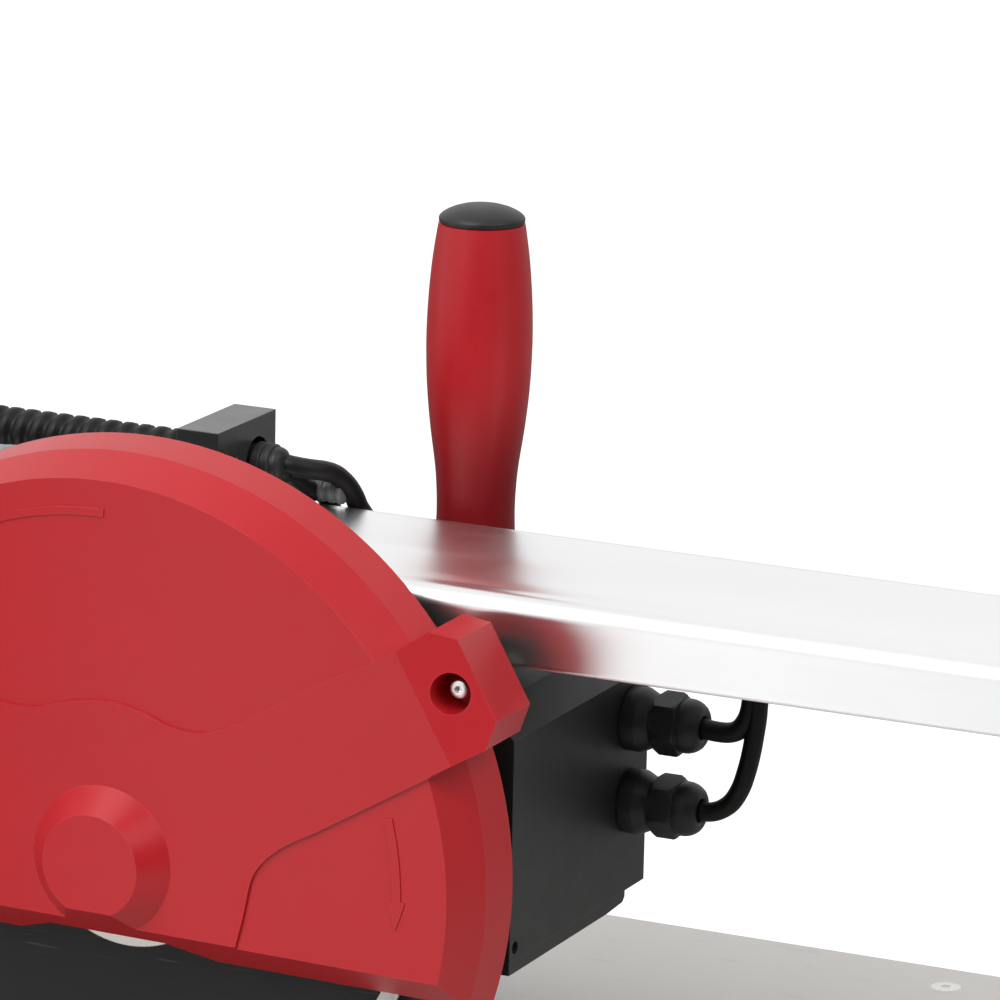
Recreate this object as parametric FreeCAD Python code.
import FreeCAD, Part
import math
import os

# Bridge-type wet tile saw, 250 mm blade, on folding legs.
# Millimetres. +Z up, +X (right) along the guide rail, +Y from the blade side (front) to the
# handle side (rear). Origin: on the floor, below the middle of the cutting table.
# Pieces of the saw head and its bridge are built in the head frame, whose origin is on the
# blade axis at the guard's rear rim, and are moved to the floor frame on export.
Vector = FreeCAD.Vector
os.makedirs("parts", exist_ok=True)

# ---------------------------------------------------------------- driving dimensions
RUN = 0.05                 # running clearance on radius
TABLE_Z = 880.0            # height of the table's top face
BLADE_Y = -50.0            # plane of the blade, and of the tilt axis
HEAD_Y, HEAD_Z = -42.0, 1015.0      # origin of the head frame

# head frame
TILT_Y = BLADE_MID = BLADE_Y - HEAD_Y
TILT_Z = TABLE_Z - HEAD_Z
TILT_LOCK_R = 150.0        # from the tilt axis to the lock knob
GUARD_R = 159.0            # rear rim of the guard
BORE_R = 12.7              # 25.4 mm arbor
SHAFT_R = 10.0
RAIL_HALF_X = 700.0
RAIL_Y0, RAIL_Y1 = 12.0, 112.3
RAIL_Z0, RAIL_Z1 = 83.6, 110.8
BOX_X0, BOX_X1 = 60.0, 153.8        # switch box
BOX_Y0, BOX_Y1 = 10.0, 138.0
BOX_Z0, BOX_Z1 = -33.6, 66.6
GLAND_Y = 121.0
GLAND_Z = (37.6, 3.6)
PIVOT_X, PIVOT_Z = -175.0, 20.0     # plunge pivot
PIVOT_R = 8.0
CONDUIT_Y, CONDUIT_Z = 85.0, 131.8

# floor frame
TRAY_Z0, TRAY_Z1 = 806.0, 856.0
LEG_PIVOT_X = 560.0
LEG_PIVOT_Z = {"left": 780.0, "right": 728.0}
LEG_KNOB_OFFSET = 30.0     # inwards and upwards from the leg pivot
SIDES = (("right", 1), ("left", -1))


# ---------------------------------------------------------------- helpers
def box(x0, x1, y0, y1, z0, z1):
    """A box between two x, two y and two z; x and y may be given in either order."""
    x0, x1 = sorted((x0, x1))
    y0, y1 = sorted((y0, y1))
    return Part.makeBox(x1 - x0, y1 - y0, z1 - z0, Vector(x0, y0, z0))


def cyl_x(y, z, radius, x0, x1):
    return Part.makeCylinder(radius, x1 - x0, Vector(x0, y, z), Vector(1, 0, 0))


def cyl_y(x, z, radius, y0, y1):
    return Part.makeCylinder(radius, y1 - y0, Vector(x, y0, z), Vector(0, 1, 0))


def cyl_z(x, y, radius, z0, z1):
    return Part.makeCylinder(radius, z1 - z0, Vector(x, y, z0), Vector(0, 0, 1))


def face_of(points):
    corners = [Vector(*p) for p in points]
    return Part.Face(Part.makePolygon(corners + [corners[0]]))


def prism_x(points, x0, x1):
    return face_of([(x0, y, z) for y, z in points]).extrude(Vector(x1 - x0, 0, 0))


def prism_y(points, y0, y1):
    return face_of([(x, y0, z) for x, z in points]).extrude(Vector(0, y1 - y0, 0))


def prism_z(points, z0, z1):
    return face_of([(x, y, z0) for x, y in points]).extrude(Vector(0, 0, z1 - z0))


def turn_x(profile, y, z):
    """Turn a profile of (radius, x) about the line along X through y, z."""
    face = face_of([(x, y + r, z) for r, x in profile])
    return face.revolve(Vector(0, y, z), Vector(1, 0, 0), 360)


def turn_y(profile, x=0.0, z=0.0):
    """Turn a profile of (radius, y) about the line along Y through x, z."""
    face = face_of([(x + r, y, z) for r, y in profile])
    return face.revolve(Vector(x, 0, z), Vector(0, 1, 0), 360)


def turn_z(profile, x, y):
    """Turn a profile of (radius, z) about the line along Z through x, y."""
    face = face_of([(x + r, y, z) for r, z in profile])
    return face.revolve(Vector(x, y, 0), Vector(0, 0, 1), 360)


def hexagon(u, v, across_flats, start=0.0):
    radius = across_flats / 2.0 / math.cos(math.pi / 6)
    angles = [start + 2 * math.pi * i / 6 for i in range(6)]
    return [(u + radius * math.cos(a), v + radius * math.sin(a)) for a in angles]


def hex_x(y, z, across_flats, x0, x1, start=0.0):
    return prism_x(hexagon(y, z, across_flats, start), x0, x1)


def hex_y(x, z, across_flats, y0, y1):
    return prism_y(hexagon(x, z, across_flats), y0, y1)


def lobed_knob(prism, centre, radius, lobes, start, end):
    """A lobed hand knob, extruded by one of the prism functions from start to end."""
    points = []
    for i in range(lobes * 8):
        a = 2 * math.pi * i / (lobes * 8)
        r = radius * (1.0 - 0.09 * (1 - math.cos(lobes * a)))
        points.append((centre[0] + r * math.cos(a), centre[1] + r * math.sin(a)))
    return prism(points, start, end)


def fuse(shapes):
    return shapes[0].fuse(shapes[1:]).removeSplitter()


def cut(shape, *tools):
    for tool in tools:
        shape = shape.cut(tool)
    return shape


def round_bar(points, radius, bend):
    """A round bar along a polyline whose corners are rounded to the bend radius."""
    path = [Vector(*p) for p in points]
    edges = []
    start = path[0]
    for before, corner, after in zip(path, path[1:], path[2:]):
        back = (before - corner).normalize()
        ahead = (after - corner).normalize()
        half = back.getAngle(ahead) / 2.0
        room = min((before - corner).Length, (after - corner).Length) * 0.48
        setback = min(bend / math.tan(half), room)
        arc_r = setback * math.tan(half)
        arc_start = corner + back * setback
        arc_end = corner + ahead * setback
        inward = (back + ahead).normalize()
        centre = corner + inward * (arc_r / math.sin(half))
        if (arc_start - start).Length > 1e-4:
            edges.append(Part.makeLine(start, arc_start))
        edges.append(Part.Arc(arc_start, centre - inward * arc_r, arc_end).toShape())
        start = arc_end
    edges.append(Part.makeLine(start, path[-1]))
    direction = (path[1] - path[0]).normalize()
    section = Part.Wire([Part.makeCircle(radius, path[0], direction)])
    bar = Part.Wire(edges).makePipeShell([section], True, False)
    if bar.ShapeType == "Shell":
        bar = Part.Solid(bar)
    return bar


def mirror_x(shape):
    return shape.mirror(Vector(0, 0, 0), Vector(1, 0, 0))


def mirror_y(shape):
    return shape.mirror(Vector(0, 0, 0), Vector(0, 1, 0))


def on_side_x(shape, sign):
    return shape if sign > 0 else mirror_x(shape)


def on_side_y(shape, sign):
    return shape if sign > 0 else mirror_y(shape)


def spun_y(shape, angle):
    shape.rotate(Vector(0, 0, 0), Vector(0, 1, 0), angle)
    return shape


def export(name, *shapes):
    solids = []
    for shape in shapes:
        solids += shape.Solids
    piece = solids[0] if len(solids) == 1 else Part.makeCompound(solids)
    piece.exportStep("parts/%s.step" % name)


def export_head(name, *shapes):
    """Move shapes from the head frame to the floor frame and export them."""
    placed = [shape.copy() for shape in shapes]
    for shape in placed:
        shape.translate(Vector(0, HEAD_Y, HEAD_Z))
    export(name, *placed)


# ================================================================ HEAD: guard
GUARD_R_MID, GUARD_Y_MID = 156.3, -18.4      # side wall at the chamfer
GUARD_R_FACE, GUARD_Y_FACE = 148.9, -37.9    # edge of the front face
GUARD_WALL = 4.0
INNER_Y = GUARD_Y_FACE + GUARD_WALL          # inside of the front face

# bevel that trims the guard's lower side: drops towards the rear and slightly to the right
BEVEL_Z, BEVEL_PER_Y, BEVEL_PER_X = -28.9, -0.72, -0.016

ARM_Y = -39.2                                # front of the raised arms
ARM_DX, ARM_DZ = -1.1, -0.65                 # arms sit a little to one side of the blade axis
BOSS_X, BOSS_Z, BOSS_Y = 2.4, -1.4, -49.7
BOSS_R_BASE, BOSS_R_FRONT = 29.9, 20.5

# Each arm rises outwards at LUG_ANGLE; u runs out along the right arm and v up across it.
LUG_ANGLE = math.radians(30.0)
LUG_U0, LUG_U1 = 159.4, 184.0
LUG_V0, LUG_V1 = -25.7, 23.6
LUG_HOLE_R = 8.0
LUG_SCREW_R = 2.5

# Upper edge of both arms, right to left over the boss: (x, z).
ARM_TOP = [
    (92.9, 80.7), (80.6, 73.3), (74.8, 69.8), (68.9, 66.3), (62.9, 62.8), (55.7, 59.2),
    (49.6, 56.9), (43.5, 55.8), (37.4, 55.8), (31.2, 56.7), (22.6, 59.7), (15.1, 61.6),
    (8.9, 62.7), (2.8, 62.9), (-3.4, 62.3), (-9.4, 61.3), (-16.6, 59.7), (-25.2, 56.9),
    (-31.4, 56.0), (-37.5, 56.0), (-43.6, 56.9), (-49.7, 58.5), (-56.9, 61.2), (-62.9, 63.7),
    (-68.9, 66.7), (-74.8, 70.0), (-80.6, 73.4), (-92.9, 80.7)]
# Lower edge of the right arm, going outwards: (x, z).
ARM_LOW = [
    (61.5, -27.0), (63.6, -18.9), (65.1, -12.4), (66.1, -7.2), (67.2, -1.9), (68.8, 2.6),
    (71.2, 6.4), (74.9, 10.6), (79.5, 14.4), (84.5, 17.8), (95.1, 23.6)]


def from_arm(u, v):
    """Turn a point of the right arm's (u, v) frame into (x, z)."""
    cos, sin = math.cos(LUG_ANGLE), math.sin(LUG_ANGLE)
    return (u * cos - v * sin, u * sin + v * cos)


hole_u_v = from_arm(172.2, -0.9)
LUG_HOLE_X, LUG_HOLE_Z = hole_u_v[0] + ARM_DX, hole_u_v[1] + ARM_DZ


def smooth(points, per=5):
    """Points on a Catmull-Rom curve through points, with per steps to each span."""
    first = tuple(2 * a - b for a, b in zip(points[0], points[1]))
    last = tuple(2 * a - b for a, b in zip(points[-1], points[-2]))
    padded = [first] + points + [last]
    curve = []
    for span in zip(padded, padded[1:], padded[2:], padded[3:]):
        for k in range(per):
            t = k / per
            curve.append(tuple(
                0.5 * (2 * start + (end - before) * t
                       + (2 * before - 5 * start + 4 * end - after) * t * t
                       + (3 * start - before - 3 * end + after) * t ** 3)
                for before, start, end, after in zip(*span)))
    curve.append(points[-1])
    return curve


def below_bevel(lift=0.0):
    """Everything under the bevel plane raised by lift."""
    corners = []
    for x, y in ((-230.0, -70.0), (230.0, -70.0), (230.0, 10.0), (-230.0, 10.0)):
        z = BEVEL_Z + BEVEL_PER_Y * (y - GUARD_Y_FACE) + BEVEL_PER_X * (x - 60.0) + lift
        corners.append((x, y, z))
    return face_of(corners).extrude(Vector(0, 0, -300))


def raised_arms():
    """The two arms joined round the boss, as far as the lugs."""
    tip_top, tip_low = from_arm(150, 22.3), from_arm(150, -26.3)
    low = smooth(ARM_LOW)
    points = [tip_top] + smooth(ARM_TOP)
    points += [(-x, z) for x, z in [tip_top, tip_low] + low[::-1]]
    points += [(-61.5, -80.0), (61.5, -80.0)] + low + [tip_low]
    return prism_y([(x + ARM_DX, z + ARM_DZ) for x, z in points], ARM_Y, -30.0)


def side_arm():
    """Outer end of the right arm with its screw lug, whose front leans back outwards."""
    end = prism_y([from_arm(140, 22.3), from_arm(LUG_U0, 22.5), from_arm(LUG_U0, LUG_V0),
                   from_arm(140, -26.2)], ARM_Y, -12.0)
    lug = prism_y([from_arm(LUG_U0, LUG_V0), from_arm(175.0, LUG_V0), from_arm(LUG_U1, -17.9),
                   from_arm(LUG_U1, 16.4), from_arm(175.0, LUG_V1), from_arm(LUG_U0, 22.5)],
                  ARM_Y, -6.0)
    body = fuse([end, lug])
    body.translate(Vector(ARM_DX, 0, ARM_DZ))
    lean = []
    for u, v, back in ((0, -60, 0), (0, 60, 0), (40, 60, 5.9), (40, -60, 5.9)):
        x, z = from_arm(LUG_U0 + u, v)
        lean.append((x + ARM_DX, ARM_Y + back, z + ARM_DZ))
    return body.cut(face_of(lean).extrude(Vector(0, -30, 0)))


# water valve: its axis stands radially on the guard's left shoulder
VALVE_ANGLE = math.radians(128)
VALVE_COS, VALVE_SIN = math.cos(VALVE_ANGLE), math.sin(VALVE_ANGLE)
VALVE_Y = -20


def valve_rod(radius, start, length):
    """A cylinder along the valve axis from the radius start outwards."""
    return Part.makeCylinder(radius, length, Vector(start * VALVE_COS, VALVE_Y, start * VALVE_SIN),
                             Vector(VALVE_COS, 0, VALVE_SIN))


def valve_cross(at, radius, y0, y1):
    """A cylinder along Y that crosses the valve axis at the radius at."""
    return cyl_y(at * VALVE_COS, at * VALVE_SIN, radius, y0, y1)


def guard_shell():
    outer = turn_y([(0, GUARD_Y_FACE), (GUARD_R_FACE, GUARD_Y_FACE), (GUARD_R_MID, GUARD_Y_MID),
                    (GUARD_R, 0), (0, 0)])
    boss = turn_y([(0, BOSS_Y), (BOSS_R_FRONT, BOSS_Y), (BOSS_R_BASE, ARM_Y), (BOSS_R_BASE, -34),
                   (0, -34)], BOSS_X, BOSS_Z)
    shell = fuse([outer, raised_arms(), side_arm(), mirror_x(side_arm()), boss])
    shell = shell.cut(below_bevel())
    inner = turn_y([(0, INNER_Y), (GUARD_R_FACE - 6.0, INNER_Y), (GUARD_R_MID - 4.3, GUARD_Y_MID),
                    (GUARD_R - GUARD_WALL, 0.5), (0, 0.5)])
    # the front of the hollow stops above the bevel and leaves a lower wall
    inner_front = inner.common(box(-200, 200, -34, -20.0, -200, 200)).cut(below_bevel(4.4))
    inner_rear = inner.common(box(-200, 200, -20.01, 1, -200, 200))
    # the lower wall is cut back round the spindle, for the flange
    notch = prism_z([(-25.2, -29.8), (25.2, -29.8), (43.3, -20.0), (43.3, 1.0), (-43.3, 1.0),
                     (-43.3, -20.0)], -70.0, -20.0)
    shell = cut(shell, inner_front, inner_rear, notch, cyl_y(BOSS_X, BOSS_Z, 13.0, -46.0, -30))
    for sx in (1, -1):
        shell = cut(shell, cyl_y(sx * LUG_HOLE_X, LUG_HOLE_Z, LUG_HOLE_R, -50, -20.0),
                    cyl_y(sx * LUG_HOLE_X, LUG_HOLE_Z, 2.75, -30, 0))
    return shell.cut(valve_rod(3.2, GUARD_R - 15, 30.0))


def guard_screw(x, z):
    """Domed head deep in the lug, end in the back plate's ear."""
    screw_head = turn_y([(0, -30.5), (2.2, -30.4), (3.5, -29.7), (3.85, -28.9), (3.85, -20.0),
                         (0, -20.0)], x, z)
    screw_head = screw_head.cut(hex_y(x, z, 2.5, -31.0, -28.9))
    return fuse([screw_head, cyl_y(x, z, LUG_SCREW_R, -20.5, 2.4)])


def back_plate():
    """Flat disc behind the guard with an ear behind each lug."""
    thick = 2.5
    radius = GUARD_R - 4.6
    ear = prism_y([from_arm(140, -14), from_arm(172, -11), from_arm(177, -6), from_arm(177, 4),
                   from_arm(172, 9), from_arm(140, 12)], 0.0, thick)
    screw_hole = cyl_y(LUG_HOLE_X, LUG_HOLE_Z, LUG_SCREW_R, -20, 5)
    ear_boss = cyl_y(LUG_HOLE_X, LUG_HOLE_Z, 7.0, -5.8, 0.5).cut(screw_hole)
    plate = turn_y([(0, 0.0), (radius, 0.0), (radius, thick), (0, thick)])
    plate = fuse([plate, ear, mirror_x(ear), ear_boss, mirror_x(ear_boss)])
    plate = cut(plate, box(-200, 200, -10, 10, -200, -56.0), cyl_y(0, 0, 19.0, -5, 5))
    for sx in (1, -1):
        plate = plate.cut(cyl_y(sx * LUG_HOLE_X, LUG_HOLE_Z, LUG_SCREW_R, -20, 5))
    for angle in (45, 135, 225, 315):
        a = math.radians(angle)
        plate = plate.cut(cyl_y(48 * math.cos(a), 48 * math.sin(a), 3.2, -5, 5))
    return plate


LEVER_AT = 175                # radius of the lever's spindle


def water_pipe():
    body = fuse([valve_rod(7.0, GUARD_R + 0.6, 26.0), valve_rod(3.0, GUARD_R - 34, 40.0),
                 valve_rod(4.0, GUARD_R + 26.6, 16.0)])
    body = fuse([body, valve_cross(131.0, 3.0, -29.0, -1.0)])
    return body.cut(valve_cross(LEVER_AT, 3.05, -40, -21.5))


def valve_lever():
    x, z = LEVER_AT * VALVE_COS, LEVER_AT * VALVE_SIN
    return fuse([valve_cross(LEVER_AT, 3.0, -35.0, -21.6),
                 valve_cross(LEVER_AT, 6.5, -35.0, -28.0),
                 box(x - 30, x, -34.0, -30.0, z - 3.5, z + 3.5)])


export_head("guard_shell", guard_shell())
export_head("guard_screws", *[guard_screw(sx * LUG_HOLE_X, LUG_HOLE_Z) for sx in (1, -1)])
export_head("guard_back_plate", back_plate())
export_head("water_pipe", water_pipe())
export_head("valve_lever", valve_lever())

# ================================================================ HEAD: spindle
BLADE_R = 125.0
BLADE_RIM = 7.0               # radial depth of the diamond rim
BLADE_CORE_T = 1.8
BLADE_RIM_T = 2.4
FLANGE_R = 44.0
HUB_R = 24                    # raised middle of each flange

rotor = fuse([
    cyl_y(0, 0, 15.0, -1.0, 22.0),                     # spindle shoulder behind the inner flange
    cyl_y(0, 0, BORE_R - RUN, -24.0, 0.0),             # arbor nose
    cyl_y(0, 0, SHAFT_R, 20.0, 167.5),
    cyl_y(0, 0, 36.0, 46.0, 126.0),                    # rotor stack
])
export_head("rotor_shaft", rotor)

core_r = BLADE_R - BLADE_RIM
core = cyl_y(0, 0, core_r, BLADE_MID - BLADE_CORE_T / 2, BLADE_MID + BLADE_CORE_T / 2)
core = core.cut(cyl_y(0, 0, BORE_R, -20, 5))
diamond_rim = cyl_y(0, 0, BLADE_R, BLADE_MID - BLADE_RIM_T / 2, BLADE_MID + BLADE_RIM_T / 2)
diamond_rim = diamond_rim.cut(cyl_y(0, 0, core_r - 0.01, -20, 5))
export_head("blade", fuse([core, diamond_rim]))

blade_rear, blade_front = BLADE_MID + BLADE_CORE_T / 2, BLADE_MID - BLADE_CORE_T / 2
flange_front = BLADE_MID - 7.5
inner_flange = turn_y([(BORE_R, blade_rear), (FLANGE_R, blade_rear), (FLANGE_R, BLADE_MID + 3.0),
                       (HUB_R, -1.0), (BORE_R, -1.0)])
outer_flange = turn_y([(BORE_R, blade_front), (BORE_R, flange_front), (HUB_R, flange_front),
                       (FLANGE_R, BLADE_MID - 4.5), (FLANGE_R, blade_front)])
export_head("blade_flanges", inner_flange, outer_flange)

arbor_nut = hex_y(0, 0, 30.0, -27.0, flange_front).cut(cyl_y(0, 0, BORE_R - RUN, -24.0, 0))
export_head("arbor_nut", arbor_nut)

FAN_Y0, FAN_Y1 = 136.0, 150.0
fan = [cyl_y(0, 0, 17.0, FAN_Y0, FAN_Y1)]
for i in range(9):
    fan.append(spun_y(box(14, 46, FAN_Y0, FAN_Y1, -1.2, 1.2), i * 40))
export_head("cooling_fan", fuse(fan).cut(cyl_y(0, 0, SHAFT_R, 130, 170)))

# ================================================================ HEAD: motor
MOTOR_R = 62.0                # over the cooling fins
MOTOR_BORE_R = MOTOR_R - 10.0
MOTOR_Y1 = 176.0              # rear end of the end bell
BELL_Y0 = 146.0               # joint between housing and end bell
BELL_R = MOTOR_R - 2.0
EYE_R = 22.0
ARM_Y0, ARM_Y1 = 14.0, 110.0  # width of the swing arm
GAP_Y0, GAP_Y1 = 38.0, 86.0   # gap between the swing arm's two eyes


def motor_housing():
    """Finned barrel with the swing arm to the plunge pivot."""
    barrel = [cyl_y(0, 0, MOTOR_R - 5.0, 10.0, BELL_Y0), cyl_y(0, 0, 61.5, 2.5, 14.0),
              cyl_y(0, 0, BELL_R, 138.0, BELL_Y0)]
    swing_arm = prism_y([(-48, -26), (-48, 42), (-150, 42), (PIVOT_X, PIVOT_Z + EYE_R),
                         (PIVOT_X, PIVOT_Z - EYE_R), (-150, -6), (-110, -14)], ARM_Y0, ARM_Y1)
    eye = cyl_y(PIVOT_X, PIVOT_Z, EYE_R, ARM_Y0, ARM_Y1)
    fins = []
    for angle in range(0, 360, 10):
        if 62 < angle < 118:      # the top carries no fins
            continue
        fins.append(spun_y(box(MOTOR_R - 6.5, MOTOR_R, 18.0, 138.0, -1.3, 1.3), -angle))
    housing = fuse([fuse(barrel), swing_arm, eye] + fins)
    bore = cyl_y(0, 0, MOTOR_BORE_R, 34.0, 150.0)
    housing = cut(
        housing, bore,
        cyl_y(0, 0, 26.0, 14.0, 26.0), cyl_y(0, 0, 17.0, 0.0, 40.0), cyl_y(0, 0, 26.0, 24.0, 35.0),
        box(-140, -66, 20.0, 104.0, -2.0, 34.0),
        cyl_y(PIVOT_X, PIVOT_Z, 20.0, GAP_Y0, GAP_Y1),
        box(-200, PIVOT_X, GAP_Y0, GAP_Y1, PIVOT_Z - 24, PIVOT_Z + 24),
        cyl_y(PIVOT_X, PIVOT_Z, PIVOT_R + RUN, 0, 130))
    # flat seat where the switch box bolts on
    housing = housing.fuse([box(52.0, BOX_X0, 20.0, 112.0, -26.0, 26.0)])
    housing = housing.cut(box(BOX_X0, 90, BOX_Y0 - 8, MOTOR_Y1, -70, 70))
    return housing.cut(bore).removeSplitter()


def motor_stator():
    stator = cyl_y(0, 0, MOTOR_BORE_R, 44.0, 128.0).cut(cyl_y(0, 0, 36.8, 40, 130))
    for i in range(12):
        a = i * math.pi / 6
        stator = stator.cut(cyl_y(42.5 * math.cos(a), 42.5 * math.sin(a), 3.2, 40, 130))
    return stator


def bearing(radius, y0, y1):
    return turn_y([(SHAFT_R + RUN, y0), (radius, y0), (radius, y1), (SHAFT_R + RUN, y1)])


def end_bell():
    wall_r = MOTOR_R - 5.5
    bell = turn_y([
        (0, MOTOR_Y1), (50, MOTOR_Y1), (BELL_R, MOTOR_Y1 - 10), (BELL_R, BELL_Y0),
        (wall_r, BELL_Y0), (wall_r, MOTOR_Y1 - 11.5), (48.5, MOTOR_Y1 - 3.0), (26, MOTOR_Y1 - 3.0),
        (25, 157.0), (20.0, 157.0), (20.0, 167.0), (0, 170.0)])
    for i in range(10):           # vents
        bell = bell.cut(spun_y(box(-2.2, 2.2, MOTOR_Y1 - 6, MOTOR_Y1 + 2, 27, 46), i * 36))
    return bell.cut(box(BOX_X0, 90, 100, MOTOR_Y1 + 5, -70, 70))


export_head("motor_housing", motor_housing())
export_head("motor_stator", motor_stator())
export_head("motor_bearings", bearing(26.0, 24.0, 34.0), bearing(20.0, 157.0, 167.0))
export_head("motor_end_bell", end_bell())

# ================================================================ HEAD: switch box
BOX_WALL = 3.0
BOX_CHAMFER = 11.5
BUTTON_X = 94.0
# name, z, how far it stands out past the box's rear wall beyond 1 mm
BUTTONS = (("button_on", 34.0, 1.5), ("button_off", 4.0, 5.0))
BUTTON_HOLE_R = 11.0


def switch_box():
    """Box open at the bottom."""
    inset = BOX_CHAMFER + 1.5
    outer = prism_y([(BOX_X0, BOX_Z0), (BOX_X1, BOX_Z0), (BOX_X1, BOX_Z1 - BOX_CHAMFER),
                     (BOX_X1 - BOX_CHAMFER, BOX_Z1), (BOX_X0, BOX_Z1)], BOX_Y0, BOX_Y1)
    inner = prism_y([(BOX_X0 + BOX_WALL, BOX_Z0 - 1), (BOX_X1 - BOX_WALL, BOX_Z0 - 1),
                     (BOX_X1 - BOX_WALL, BOX_Z1 - inset), (BOX_X1 - inset, BOX_Z1 - BOX_WALL),
                     (BOX_X0 + BOX_WALL, BOX_Z1 - BOX_WALL)], BOX_Y0 + BOX_WALL, BOX_Y1 - BOX_WALL)
    shell = outer.cut(inner)
    for z in GLAND_Z:
        shell = shell.cut(cyl_x(GLAND_Y, z, 8.0, BOX_X1 - 6, BOX_X1 + 1))
    # small blind recess low on the right wall
    shell = shell.cut(cyl_x(15.0, BOX_Z0 + 5.0, 2.6, BOX_X1 - 2.5, BOX_X1 + 1))
    collars = []
    for _, z, _ in BUTTONS:
        shell = shell.cut(cyl_y(BUTTON_X, z, BUTTON_HOLE_R, BOX_Y1 - 8, BOX_Y1 + 1))
        hole = cyl_y(BUTTON_X, z, BUTTON_HOLE_R, BOX_Y1 - 8, BOX_Y1 + 8)
        collars.append(cyl_y(BUTTON_X, z, 13.5, BOX_Y1 - 0.5, BOX_Y1 + 3).cut(hole))
    return shell.fuse(collars).removeSplitter()


def box_cover():
    lid = prism_x([(BOX_Y0 + 0.5, BOX_Z0), (BOX_Y0 + 0.5, BOX_Z0 - 5.3), (103.0, BOX_Z0 - 5.3),
                   (118.0, BOX_Z0 - 4.4), (120.0, BOX_Z0 - 2.6), (120.0, BOX_Z0)],
                  BOX_X0 + 2.0, BOX_X1 - 0.3)
    inset = BOX_WALL + 0.4
    plug = box(BOX_X0 + inset, BOX_X1 - inset, BOX_Y0 + inset, BOX_Y1 - inset,
               BOX_Z0 - 0.01, BOX_Z0 + 2.0)
    return fuse([lid, plug])


# (radius, distance out from the box's right wall)
GLAND_COLLAR = [(0, 0), (13.0, 0), (13.0, 6.6), (10.6, 11.0), (10.4, 13.0), (0, 13.0)]
GLAND_DOME = [(0, 22.9), (11.0, 22.9), (10.9, 26.0), (10.1, 28.6), (8.6, 30.6), (6.6, 31.7),
              (0, 31.7)]


def cable_gland(z):
    collar, dome = [[(r, BOX_X1 + d) for r, d in table] for table in (GLAND_COLLAR, GLAND_DOME)]
    gland = fuse([cyl_x(GLAND_Y, z, 7.9, BOX_X1 - 9.0, BOX_X1 + 3.0),
                  turn_x(collar, GLAND_Y, z),
                  hex_x(GLAND_Y, z, 22.4, BOX_X1 + 12.4, BOX_X1 + 22.9, math.radians(15)),
                  turn_x(dome, GLAND_Y, z)])
    return gland.cut(cyl_x(GLAND_Y, z, 4.2, BOX_X1 - 10, BOX_X1 + 40))


export_head("switch_box", switch_box())
export_head("box_cover", box_cover())
export_head("start_capacitor", cyl_y(108.0, 20.0, 17.0, 24.0, 96.0))
export_head("cable_glands", *[cable_gland(z) for z in GLAND_Z])
for name, z, proud in BUTTONS:
    export_head(name, fuse([cyl_y(BUTTON_X, z, 10.8, BOX_Y1 - 6.0, BOX_Y1 + 1.0 + proud),
                            cyl_y(BUTTON_X, z, 3.0, BOX_Y1 - 14.0, BOX_Y1 - 5.0)]))

# ================================================================ HEAD: handle
HANDLE_X, HANDLE_Y = 75.0, 140.0
GRIP_Z0, GRIP_Z1 = 92.0, 226.2
POST_R = 8.0
BRACKET_HALF = 15.0
# grip outline: (z, radius)
GRIP = [
    (GRIP_Z0, 16.6), (100.0, 15.9), (110.7, 15.6), (114.7, 15.8), (122.9, 16.2), (131.1, 17.2),
    (139.3, 18.5), (147.5, 19.5), (155.6, 20.3), (163.8, 20.9), (178.1, 21.3), (188.4, 21.1),
    (196.5, 20.7), (204.7, 20.1), (212.9, 19.3), (221.1, 18.1), (GRIP_Z1, 17.3)]
# domed cap outline: (radius, z)
CAP = [(0, GRIP_Z1), (17.2, GRIP_Z1), (17.2, 228.6), (16.0, 230.2), (12.5, 232.0), (7.0, 233.2),
       (0, 233.6)]

grip = [(POST_R + RUN, GRIP_Z0)] + [(r, z) for z, r in GRIP] + [(POST_R + RUN, GRIP_Z1)]
export_head("handle_grip", turn_z(grip, HANDLE_X, HANDLE_Y))
export_head("handle_cap", turn_z(CAP, HANDLE_X, HANDLE_Y))

bracket_x0, bracket_x1 = HANDLE_X - BRACKET_HALF, HANDLE_X + BRACKET_HALF
bracket = fuse([cyl_z(HANDLE_X, HANDLE_Y, POST_R, 70.0, GRIP_Z1),
                cyl_z(HANDLE_X, HANDLE_Y, BRACKET_HALF, 70.0, GRIP_Z0),
                box(bracket_x0, bracket_x1, BOX_Y1, HANDLE_Y + BRACKET_HALF, 64.0, 70.5),
                box(bracket_x0, bracket_x1, BOX_Y1, BOX_Y1 + 5.0, 18.0, 66.0)])
# clear of the button collars
bracket = bracket.cut(box(BUTTON_X - 14.6, 200, BOX_Y1 - 1, BOX_Y1 + 9, -30, 50))
bracket = bracket.cut(cyl_z(HANDLE_X, HANDLE_Y, 5.0, 75.0, 222.0))
export_head("handle_bracket", bracket)

# ================================================================ CARRIAGE
CHEEK = [(-200, -6), (-122, -6), (-122, 66), (-20, 66), (-20, 130), (-150, 130), (-200, 96)]
CHEEK_Y0, CHEEK_Y1 = 4.0, 120.5              # front of the front cheek, rear of the rear one
TIES = ((-85.0, 117.5, 4.5), (-85.0, 74.0, 5.0), (-190.0, 62.0, 6.0), (-140.0, 56.0, 5.0))
ROLLER_R = 9.0
AXLE_R = 3.5
ROLLER_X = {"left": -128.0, "right": -42.0}
# height and rear end of the rollers in each row
ROLLER_ROWS = {"top": (RAIL_Z1 + ROLLER_R + RUN, 72.0), "bottom": (RAIL_Z0 - ROLLER_R - RUN, 111.0)}
KNOB_X, KNOB_Z = -138.0, 10.0                # plunge knob


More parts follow.
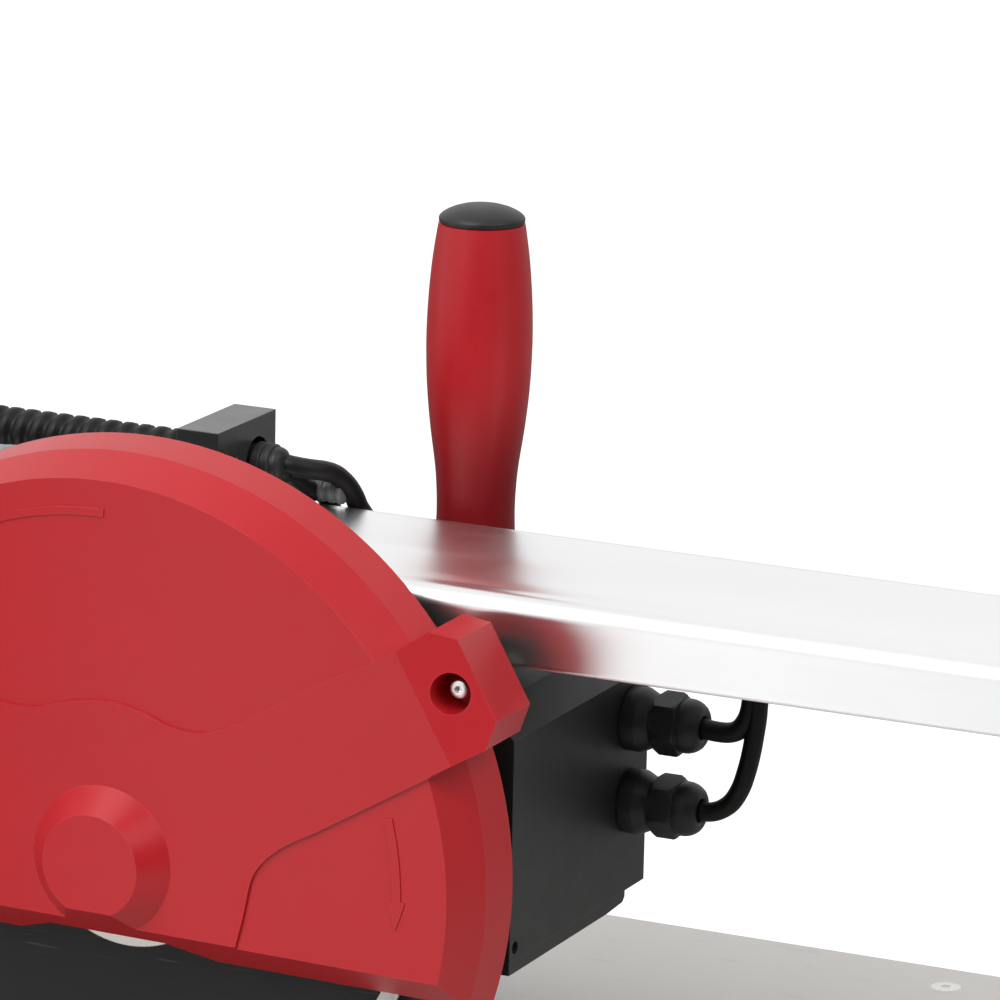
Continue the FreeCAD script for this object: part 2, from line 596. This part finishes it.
def carriage_frame():
    """Two cheeks, in front of and behind the rail, joined by tie rods."""
    front = prism_y(CHEEK, CHEEK_Y0, 9.0)
    rear = prism_y([(x, min(z, 125.0)) for x, z in CHEEK], 115.5, CHEEK_Y1)
    ties = [cyl_y(x, z, radius, 8.0, 116.0) for x, z, radius in TIES]
    cross = box(-20.0, -14.2, CHEEK_Y0, CHEEK_Y1, 113.5, 123.0)
    frame = fuse([front, rear] + ties + [cross])
    for z, _ in ROLLER_ROWS.values():
        for x in ROLLER_X.values():
            frame = frame.cut(cyl_y(x, z, AXLE_R + RUN, 0, 130))
    frame = frame.cut(cyl_y(PIVOT_X, PIVOT_Z, PIVOT_R, 0, 130))
    frame = frame.cut(cyl_y(KNOB_X, KNOB_Z, 4.0 + RUN, 100, 130))
    # guide pads against the rail's front and rear faces
    for x in (-120.0, -50.0):
        frame = frame.fuse([box(x - 14, x + 14, 8.9, 11.8, 90.0, 104.0),
                            box(x - 14, x + 14, 112.5, 115.6, 90.0, 104.0)])
    return frame.removeSplitter()


def roller(x, z, rear):
    body = turn_y([(0, 13.0), (ROLLER_R - 1.0, 13.0), (ROLLER_R, 15.0), (ROLLER_R, rear - 2.0),
                   (ROLLER_R - 1.0, rear), (0, rear)], x, z)
    return fuse([body, cyl_y(x, z, AXLE_R, CHEEK_Y0, CHEEK_Y1)])


def plunge_spring():
    """Coil round the pin, between the two eyes of the swing arm."""
    helix = Part.makeHelix(5.2, 41.6, 12.5)   # pitch, height, radius
    helix.rotate(Vector(0, 0, 0), Vector(1, 0, 0), -90)
    helix.translate(Vector(PIVOT_X, 41.0, PIVOT_Z))
    start = helix.Vertexes[0].Point
    direction = helix.Edges[0].tangentAt(helix.Edges[0].FirstParameter)
    section = Part.Wire([Part.makeCircle(1.8, start, direction)])
    return Part.Wire(helix.Edges).makePipeShell([section], True, True)


export_head("carriage_frame", carriage_frame())
for row, (z, rear) in ROLLER_ROWS.items():
    for side, x in ROLLER_X.items():
        export_head("roller_%s_%s" % (row, side), roller(x, z, rear))
export_head("plunge_pin", fuse([cyl_y(PIVOT_X, PIVOT_Z, PIVOT_R, 3.4, 121.0),
                                cyl_y(PIVOT_X, PIVOT_Z, 13.0, CHEEK_Y1, 127.0)]))
export_head("plunge_spring", plunge_spring())
export_head("plunge_knob", fuse([lobed_knob(prism_y, (KNOB_X, KNOB_Z), 21.0, 6, 124.0, 140.0),
                                 cyl_y(KNOB_X, KNOB_Z, 11.0, 120.8, 124.5),
                                 cyl_y(KNOB_X, KNOB_Z, 4.0, 112.0, 121.5)]))

# distribution block on the carriage: bored for the conduit, with a smaller hole beside it
block = cut(box(-14.2, 4.4, 51.0, 101.0, 113.5, 149.6),
            cyl_x(CONDUIT_Y, CONDUIT_Z, 7.0, -20, 10), cyl_x(CONDUIT_Y, CONDUIT_Z, 9.6, -4.0, 10),
            cyl_x(64.0, 134.0, 4.0, -20, 10))
export_head("hose_block", block)

conduit = cyl_x(CONDUIT_Y, CONDUIT_Z, 6.8, -711.0, 16.0)
conduit = conduit.fuse([cyl_x(CONDUIT_Y, CONDUIT_Z, 8.2, -690.0, -15.0)]).removeSplitter()
export_head("coil_conduit", conduit.cut(cyl_x(CONDUIT_Y, CONDUIT_Z, 5.0, -720.0, 18.0)))

# the two motor leads: from the conduit's end, down behind the rail, back into the glands
LEAD_R, LEAD_BEND = 3.9, 13.0
LEAD_END_X = BOX_X1 + 26.0
upper_lead = [(19.0, CONDUIT_Y + 2.0, CONDUIT_Z + 2.2), (34.0, CONDUIT_Y + 8.0, CONDUIT_Z + 2.0),
              (44.0, 117.4, 119.0), (52.0, 117.4, 99.5), (200.5, 117.4, 99.5),
              (200.5, GLAND_Y, GLAND_Z[0]), (LEAD_END_X, GLAND_Y, GLAND_Z[0])]
lower_lead = [(17.5, CONDUIT_Y - 2.5, CONDUIT_Z - 5.0), (26.0, CONDUIT_Y - 0.5, CONDUIT_Z - 5.5),
              (34.0, 118.4, 117.0), (40.0, 118.4, 90.5), (209.5, 118.4, 90.5),
              (209.5, GLAND_Y, GLAND_Z[1]), (LEAD_END_X, GLAND_Y, GLAND_Z[1])]
export_head("motor_leads",
            *[round_bar(lead, LEAD_R, LEAD_BEND) for lead in (upper_lead, lower_lead)])

# ================================================================ BRIDGE
RAIL_WALL = 3.0
RAIL_CHAMFER = 2
SOCKET_WALL = 8
BRACKET_X1 = RAIL_HALF_X + 12.0
TRAVEL_RIGHT, TRAVEL_LEFT = 400.0, 450.0     # head travel each way from the middle
LEFT_CONTACT_X = 196.0                       # the head's reach to the left
BUFFER_Z = RAIL_Z0 - 18.0


def guide_rail():
    """Flat extrusion with three cells side by side."""
    top = RAIL_Z1 - RAIL_CHAMFER
    rail = prism_x([(RAIL_Y0, RAIL_Z0), (RAIL_Y1, RAIL_Z0), (RAIL_Y1, top),
                    (RAIL_Y1 - RAIL_CHAMFER, RAIL_Z1), (RAIL_Y0 + RAIL_CHAMFER, RAIL_Z1),
                    (RAIL_Y0, top)], -RAIL_HALF_X, RAIL_HALF_X)
    pitch = (RAIL_Y1 - RAIL_Y0 - RAIL_WALL) / 3.0
    for i in range(3):
        y = RAIL_Y0 + RAIL_WALL + i * pitch
        rail = rail.cut(box(-RAIL_HALF_X - 1, RAIL_HALF_X + 1, y, y + pitch - RAIL_WALL,
                            RAIL_Z0 + RAIL_WALL, RAIL_Z1 - RAIL_WALL))
    return rail


def rail_end(with_conduit):
    """Right-hand bracket: a socket round the rail's end and an arm down to the tilt axis."""
    y0, y1 = RAIL_Y0 - SOCKET_WALL, RAIL_Y1 + SOCKET_WALL
    z0, z1 = RAIL_Z0 - SOCKET_WALL, RAIL_Z1 + SOCKET_WALL
    arm = prism_x([(TILT_Y - 26, TILT_Z), (TILT_Y - 26, TILT_Z + 30), (TILT_Y - 16, 60),
                   (RAIL_Y0 - 9, z0), (RAIL_Y0 - 9, z1), (y1, z1), (y1, z0), (TILT_Y + 62, 40),
                   (TILT_Y + 26, TILT_Z + 40), (TILT_Y + 26, TILT_Z)], RAIL_HALF_X, BRACKET_X1)
    arm = arm.fuse([cyl_x(TILT_Y, TILT_Z, 26.0, RAIL_HALF_X, BRACKET_X1)])
    socket = box(674.0, BRACKET_X1, y0, y1, z0, z1)
    socket = socket.cut(box(660.0, RAIL_HALF_X, RAIL_Y0, RAIL_Y1, RAIL_Z0, RAIL_Z1))
    rib = prism_y([(700.5, 76.0), (700.5, -20.0), (694.0, -20.0), (680.0, 76.0)],
                  TILT_Y + 34, TILT_Y + 42)
    pieces = [arm, socket, rib]
    if with_conduit:
        pieces.append(box(RAIL_HALF_X, BRACKET_X1, CONDUIT_Y - 14, CONDUIT_Y + 14,
                          RAIL_Z1 + 6, CONDUIT_Z + 14))
    bracket = cut(fuse(pieces), cyl_x(TILT_Y, TILT_Z, 8.0 + RUN, 690, 720),
                  cyl_x(TILT_Y, TILT_Z + TILT_LOCK_R, 4.0 + RUN, 690, 720))
    if with_conduit:
        bracket = bracket.cut(cyl_x(CONDUIT_Y, CONDUIT_Z, 7.0, 690, 720))
    return bracket


def rail_buffer(tip_x, y):
    """Right-hand buffer: head, rod, and the foot that carries it under the rail."""
    return fuse([cyl_x(y, BUFFER_Z, 8.0, tip_x, tip_x + 12.0),
                 cyl_x(y, BUFFER_Z, 4.0, tip_x + 10.0, 676.0),
                 box(674.0, 680.0, y - 9, y + 9, RAIL_Z0 - 27.0, RAIL_Z0 - 8.0)])


def tilt_knob():
    z = TILT_Z + TILT_LOCK_R
    return fuse([lobed_knob(prism_x, (TILT_Y, z), 24.0, 6, 735.0, 752.0),
                 cyl_x(TILT_Y, z, 13.0, 728.6, 736.0), cyl_x(TILT_Y, z, 4.0, 698.0, 730.0)])


export_head("guide_rail", guide_rail())
buffer_tips = {1: BOX_X1 + TRAVEL_RIGHT + 0.6, -1: LEFT_CONTACT_X + TRAVEL_LEFT + 0.6}
export_head("rail_buffers", *[on_side_x(rail_buffer(tip_x, y), sx)
                              for sx, tip_x in buffer_tips.items() for y in (38.0, 86.0)])
for side, sx in SIDES:
    export_head("rail_end_" + side, on_side_x(rail_end(side == "left"), sx))
    export_head("tilt_knob_" + side, on_side_x(tilt_knob(), sx))

# ================================================================ BASE
TUBE_Z0, TUBE_Z1 = 836.0, 876.0              # frame tubes
TUBE_WALL = 2.5
TUBE_X0, TUBE_X1 = 640.0, 680.0              # end tubes
TUBE_Y0, TUBE_Y1 = 285.0, 325.0              # front and rear tubes
SUPPORT_Y0, SUPPORT_Y1 = BLADE_Y - 60, BLADE_Y + 34
SUPPORT_X1 = 724.0
SUPPORT_Z0 = TABLE_Z - 62.0
SEAT_Z0 = TUBE_Z0 - 24
LOCK_SLOT_HALF = 4.4
LOCK_TILT = 45                               # degrees of tilt that the slot allows
HOSE_Y, HOSE_Z = 200.0, 864.0


def about_tilt(radius, degrees):
    """(y, z) at a radius from the tilt axis, leaning forwards from upright."""
    a = math.radians(degrees)
    return (BLADE_Y - radius * math.sin(a), TABLE_Z + radius * math.cos(a))


def tilt_support():
    """Right-hand plate with a pivot hole and an arc slot for the lock knob."""
    points = [(SUPPORT_Y1, SUPPORT_Z0), (SUPPORT_Y1, TABLE_Z + 20), (BLADE_Y + 24, TABLE_Z + 172)]
    points += [about_tilt(174.0, degrees) for degrees in range(-6, 55, 4)]
    points += [(BLADE_Y - 116, TABLE_Z + 50), (SUPPORT_Y0, TABLE_Z - 10), (SUPPORT_Y0, SUPPORT_Z0)]
    foot = box(TUBE_X1, SUPPORT_X1, SUPPORT_Y0, SUPPORT_Y1, SUPPORT_Z0, TABLE_Z - 44.0)
    support = fuse([prism_x(points, 718.0, SUPPORT_X1), foot])
    support = support.cut(cyl_x(BLADE_Y, TABLE_Z, 8.0, 700, 740))
    ring = cyl_x(BLADE_Y, TABLE_Z, TILT_LOCK_R + LOCK_SLOT_HALF, 710, 740)
    ring = ring.cut(cyl_x(BLADE_Y, TABLE_Z, TILT_LOCK_R - LOCK_SLOT_HALF, 700, 750))
    sector = [(BLADE_Y, TABLE_Z)] + [about_tilt(400, degrees) for degrees in (0, 15, 30, LOCK_TILT)]
    slot = ring.common(prism_x(sector, 705, 745))
    slot_ends = [cyl_x(*about_tilt(TILT_LOCK_R, degrees), LOCK_SLOT_HALF, 710, 740)
                 for degrees in (0, LOCK_TILT)]
    return cut(support, slot, *slot_ends)


def tube_ring():
    """The rectangle of hollow square tubes."""
    wall = TUBE_WALL
    tubes, bores = [], []
    for sy in (1, -1):
        tubes.append(box(-TUBE_X1, TUBE_X1, sy * TUBE_Y0, sy * TUBE_Y1, TUBE_Z0, TUBE_Z1))
        bores.append(box(-678, 678, sy * (TUBE_Y0 + wall), sy * (TUBE_Y1 - wall),
                         TUBE_Z0 + wall, TUBE_Z1 - wall))
    for sx in (1, -1):
        tubes.append(box(sx * TUBE_X0, sx * TUBE_X1, -TUBE_Y1, TUBE_Y1, TUBE_Z0, TUBE_Z1))
        bores.append(box(sx * (TUBE_X0 + wall), sx * (TUBE_X1 - wall), wall - TUBE_Y1,
                         TUBE_Y1 - wall, TUBE_Z0 + wall, TUBE_Z1 - wall))
    return fuse(tubes).cut(fuse(bores))


def base_frame():
    pieces = [tube_ring()]
    for sx in (1, -1):            # seat under each tilt support
        pieces.append(box(sx * TUBE_X1, sx * SUPPORT_X1, SUPPORT_Y0, SUPPORT_Y1,
                          SEAT_Z0, SUPPORT_Z0))
        pieces.append(box(sx * TUBE_X0, sx * 690, SUPPORT_Y0, SUPPORT_Y1, SEAT_Z0, TUBE_Z0))
    for side, sx in SIDES:        # hangers for the legs
        z = LEG_PIVOT_Z[side]
        hanger = [(sx * 505, TUBE_Z0 + 1), (sx * 640, TUBE_Z0 + 1), (sx * 640, TUBE_Z0 - 12),
                  (sx * 590, z - 26), (sx * 535, z - 26), (sx * 505, z + 10)]
        for sy in (1, -1):
            pieces.append(prism_y(hanger, *sorted((sy * 297.0, sy * 303.0))))
    for sy in (1, -1):            # ledges under the tray's rim
        pieces.append(box(-620, 620, sy * 276, sy * 286, TRAY_Z1 - 6, TRAY_Z1 - 3))
    frame = fuse(pieces + [tilt_support(), mirror_x(tilt_support())])
    for side, sx in SIDES:
        z = LEG_PIVOT_Z[side]
        frame = frame.cut(cyl_y(sx * LEG_PIVOT_X, z, 6.0, -320, 320))
        frame = frame.cut(cyl_y(sx * (LEG_PIVOT_X - LEG_KNOB_OFFSET), z + LEG_KNOB_OFFSET,
                                4.0 + RUN, -320, -290))
    weep_holes = ((-600, -305), (-600, 305), (600, -305), (600, 305), (-660, 180), (660, 180))
    for x, y in weep_holes:
        frame = frame.cut(cyl_z(x, y, 3.0, TUBE_Z0 - 2, TUBE_Z0 + 5))
    return frame.cut(cyl_x(HOSE_Y, HOSE_Z, 7.0, -700, -630))


export("base_frame", base_frame())

# ---------------------------------------------------------------- water tray, pump and hose
DRAIN_X, DRAIN_Y = 560.0, 0.0
PUMP_X, PUMP_Y = -555, 195

tray = box(-628, 628, -272, 272, TRAY_Z0, TRAY_Z1)
tray = tray.cut(box(-625, 625, -269, 269, TRAY_Z0 + 3, TRAY_Z1 + 5))
tray_rim = box(-638, 638, -283, 283, TRAY_Z1 - 3, TRAY_Z1)
tray_rim = tray_rim.cut(box(-627, 627, -271, 271, TRAY_Z1 - 6, TRAY_Z1 + 5))
tray = fuse([tray, tray_rim])
tray = fuse([tray, cyl_z(DRAIN_X, DRAIN_Y, 22.0, TRAY_Z0 - 8, TRAY_Z0 + 1)])
export("water_tray", tray.cut(cyl_z(DRAIN_X, DRAIN_Y, 14.0, TRAY_Z0 - 20, TRAY_Z0 + 10)))

export("drain_plug", fuse([cyl_z(DRAIN_X, DRAIN_Y, 13.9, TRAY_Z0 - 9, TRAY_Z0 + 4),
                           cyl_z(DRAIN_X, DRAIN_Y, 21.0, TRAY_Z0 - 13, TRAY_Z0 - 8.0),
                           box(DRAIN_X - 16, DRAIN_X + 16, -2.5, 2.5,
                               TRAY_Z0 - 22, TRAY_Z0 - 12)]))

pump = fuse([box(-590, -520, 160, 230, TRAY_Z0 + 3, TRAY_Z0 + 34),
             cyl_z(PUMP_X, PUMP_Y, 24.0, TRAY_Z0 + 30, TRAY_Z0 + 44),
             cyl_x(HOSE_Y, TRAY_Z0 + 39, 4.0, -592, -565)])
export("pump", pump.cut(cyl_z(PUMP_X, PUMP_Y, 18.0, TRAY_Z0 + 12, TRAY_Z0 + 32)))

hose_path = [(-594.2, HOSE_Y, TRAY_Z0 + 39.3), (-612.0, HOSE_Y, TRAY_Z0 + 44),
             (-622.0, HOSE_Y, HOSE_Z), (-690.0, HOSE_Y, HOSE_Z),
             (-690.0, BLADE_Y, HOSE_Z - 8.0), (-690.0, BLADE_Y, TABLE_Z - 9.0)]
export("water_hose", round_bar(hose_path, 5.0, 9.0))

# ---------------------------------------------------------------- table
TABLE_HALF_X, TABLE_HALF_Y = 660.0, 345.0
TABLE_T = 4.0
SLOT_HALF = 10.0                     # half width of the blade slot
FENCE_X, FENCE_SINK = 630.0, 1.0     # left face of the fence bar, and the step that locates it


def table(slot_y, outer_y, sign):
    """Half of the table, from the slot edge out to the front (sign -1) or rear (1) edge."""
    plate = box(-TABLE_HALF_X, TABLE_HALF_X, slot_y, outer_y, TABLE_Z - TABLE_T, TABLE_Z)
    plate = plate.fuse([box(-TABLE_HALF_X, TABLE_HALF_X, outer_y - sign * 4, outer_y,
                            TABLE_Z - 34, TABLE_Z)])
    # folded edge along the blade slot stiffens the plate
    plate = plate.fuse([box(-636, 636, slot_y, slot_y + sign * 3, TABLE_Z - 18, TABLE_Z)])
    plate = plate.cut(box(FENCE_X - 1.5, TABLE_HALF_X + 1, slot_y - sign, outer_y + sign,
                          TABLE_Z - FENCE_SINK, TABLE_Z + 1))
    return plate.removeSplitter()


export("table_front", table(BLADE_Y - SLOT_HALF, -TABLE_HALF_Y, -1))
export("table_rear", table(BLADE_Y + SLOT_HALF, TABLE_HALF_Y, 1))

# ---------------------------------------------------------------- pivot bolts
pivot_bolts = []
for sx in (1, -1):                   # tilt axis
    bolt = fuse([cyl_x(BLADE_Y, TABLE_Z, 8.0, 699.0, SUPPORT_X1),
                 hex_x(BLADE_Y, TABLE_Z, 24.0, SUPPORT_X1, 732.0),
                 hex_x(BLADE_Y, TABLE_Z, 20.0, 695.8, 699.6)])
    pivot_bolts.append(on_side_x(bolt, sx))
for side, sx in SIDES:               # leg pivots
    x, z = sx * LEG_PIVOT_X, LEG_PIVOT_Z[side]
    for sy in (1, -1):
        bolt = fuse([cyl_y(x, z, 6.0, 264.0, 303.0), hex_y(x, z, 19.0, 303.0, 310.0),
                     cyl_y(x, z, 9.5, 258.0, 264.5)])
        pivot_bolts.append(on_side_y(bolt, sy))
export("pivot_bolts", *pivot_bolts)

# ---------------------------------------------------------------- legs and wheels
LEG_R = 14.0
LEG_WALL = 2.0
LEG_Y = 281.0
FOOT_X, FOOT_Z = 640.0, 22.0
WHEEL_X, WHEEL_Z, WHEEL_R = -655.0, 62.0, 60.0
WHEEL_AXLE_R = 8.0


def leg_line(side, sx):
    """Pivot in the plane y = 0, direction down the leg, and length from pivot to foot."""
    pivot = Vector(sx * LEG_PIVOT_X, 0, LEG_PIVOT_Z[side])
    down = Vector(sx * FOOT_X - pivot.x, 0, FOOT_Z - pivot.z).normalize()
    return pivot, down, (FOOT_Z - pivot.z) / down.z


def leg_frame(side, sx):
    """Two tubes with pivot hubs and two crossbars; the left one carries the wheel axles."""
    pivot, down, length = leg_line(side, sx)
    pieces, bores = [], []
    for sy in (1, -1):
        at = pivot + Vector(0, sy * LEG_Y, 0)
        top = at - down * 20
        along = at + down * length - top
        pieces.append(Part.makeCylinder(LEG_R, along.Length, top, along))
        pieces.append(cyl_y(pivot.x, pivot.z, 16.0, sy * LEG_Y - 13.0, sy * LEG_Y + 13.0))
        bores.append(Part.makeCylinder(LEG_R - LEG_WALL, along.Length - 40, top + down * 42,
                                       along))
    for distance in (330.0, 590.0):
        bar = pivot + down * distance
        pieces.append(cyl_y(bar.x, bar.z, 11.0, -LEG_Y, LEG_Y))
    frame = cut(fuse(pieces), *bores)
    if side == "left":
        for sy in (1, -1):
            axle = cyl_y(WHEEL_X, WHEEL_Z, WHEEL_AXLE_R, 282.0, 332.0)
            gusset = prism_y([(-640, 110), (-627, 110), (-636, 46), (-668, 46), (-668, 76)],
                             284.0, 290.0)
            frame = frame.fuse([on_side_y(fuse([axle, gusset]), sy)])
        frame = cut(frame.removeSplitter(), *bores)
    return frame.cut(cyl_y(pivot.x, pivot.z, 6.0 + RUN, -300, 300))


def leg_foot(side, sx, sy):
    """Cap on a leg's lower end, trimmed flat at the floor."""
    pivot, down, length = leg_line(side, sx)
    start = pivot + Vector(0, sy * LEG_Y, 0) + down * length - down * 22
    foot = Part.makeCylinder(18.0, 60.0, start, down)
    foot = foot.cut(Part.makeCylinder(LEG_R, 22.0, start, down))
    foot = foot.cut(box(-900, 900, -400, 400, -100, 0))
    if side == "left":
        foot = foot.cut(cyl_y(WHEEL_X, WHEEL_Z, 9.0, *sorted((sy * 200, sy * 400))))
    return foot


def leg_knob(side, sx):
    x, z = sx * (LEG_PIVOT_X - LEG_KNOB_OFFSET), LEG_PIVOT_Z[side] + LEG_KNOB_OFFSET
    return fuse([lobed_knob(prism_y, (x, z), 20.0, 5, -322.0, -307.0),
                 cyl_y(x, z, 9.0, -308.0, -303.3), cyl_y(x, z, 4.0, -304.0, -296.0)])


for side, sx in SIDES:
    export("leg_frame_" + side, leg_frame(side, sx))
    export("leg_feet_" + side, *[leg_foot(side, sx, sy) for sy in (1, -1)])
    export("leg_knob_" + side, leg_knob(side, sx))

# wheel section: (radius, y)
WHEEL = [
    (WHEEL_AXLE_R + RUN, 300.0), (20.0, 300.0), (20.0, 304.0), (47.0, 306.0), (47.0, 301.0),
    (56.0, 300.0), (WHEEL_R, 305.0), (WHEEL_R, 323.0), (56.0, 328.0), (47.0, 327.0),
    (47.0, 322.0), (20.0, 324.0), (20.0, 328.0), (WHEEL_AXLE_R + RUN, 328.0)]
for name, sy in (("wheel_front", -1), ("wheel_rear", 1)):
    export(name, on_side_y(turn_y(WHEEL, WHEEL_X, WHEEL_Z), sy))

# ---------------------------------------------------------------- fence at the table's right end
STOP_Y = -190.0
KNOB_AT = (FENCE_X + 13.0, STOP_Y)           # clamp knob, over the fence's groove
ARM_X = FENCE_X - 32.0                       # angle arm's pivot
KNOB_Z0 = TABLE_Z + 29.8

fence = box(FENCE_X, FENCE_X + 26, -335.0, 335.0, TABLE_Z - FENCE_SINK, TABLE_Z + 24.0)
# stepped groove, open at the top: inset from each face, bottom, top
for inset, z0, z1 in ((3, 4, 13), (8, 12, 21), (10.5, 20, 25)):
    fence = fence.cut(box(FENCE_X + inset, FENCE_X + 26 - inset, -336, 336,
                          TABLE_Z + z0, TABLE_Z + z1))
export("fence_bar", fence)

# side stop: x0, x1 from the fence face, half width along Y, z0, z1 above the table
STOP_BLOCKS = (
    (-44.0, 30, 28, 24.3, 29.5),             # plate over the bar
    (-24.0, -0.3, 28, 0.6, 26.0),            # block to the left of the bar
    (10.8, 15.2, 20, 14.5, 25.0),            # neck in the groove
    (8.4, 17.6, 20, 14.5, 19.5))             # foot in the groove
stop = fuse([box(FENCE_X + x0, FENCE_X + x1, STOP_Y - half, STOP_Y + half,
                 TABLE_Z + z0, TABLE_Z + z1) for x0, x1, half, z0, z1 in STOP_BLOCKS])
stop = cut(stop, cyl_z(*KNOB_AT, 4.0 + RUN, TABLE_Z + 24.0, TABLE_Z + 40),
           cyl_z(ARM_X, STOP_Y, 5.0 + RUN, TABLE_Z + 15, TABLE_Z + 40))
export("side_stop", stop)

stop_knob = fuse([cyl_z(*KNOB_AT, 9.0, KNOB_Z0, KNOB_Z0 + 6),
                  cyl_z(*KNOB_AT, 4.0, TABLE_Z + 26.0, KNOB_Z0 + 2)])
stop_knob = fuse([stop_knob, lobed_knob(prism_z, KNOB_AT, 18.0, 5, KNOB_Z0 + 5.5, KNOB_Z0 + 19.0)])
export("stop_knob", stop_knob)

export("angle_arm", fuse([
    cyl_z(ARM_X, STOP_Y, 5.0, TABLE_Z + 20.0, TABLE_Z + 30.5),
    cyl_z(ARM_X, STOP_Y, 13.0, KNOB_Z0, TABLE_Z + 33.6),
    box(ARM_X - 172, ARM_X, STOP_Y - 9.0, STOP_Y + 9.0, KNOB_Z0, TABLE_Z + 33.0),
    box(ARM_X - 172, ARM_X - 32, STOP_Y + 5.0, STOP_Y + 9.0, TABLE_Z + 0.8, TABLE_Z + 31.0)]))
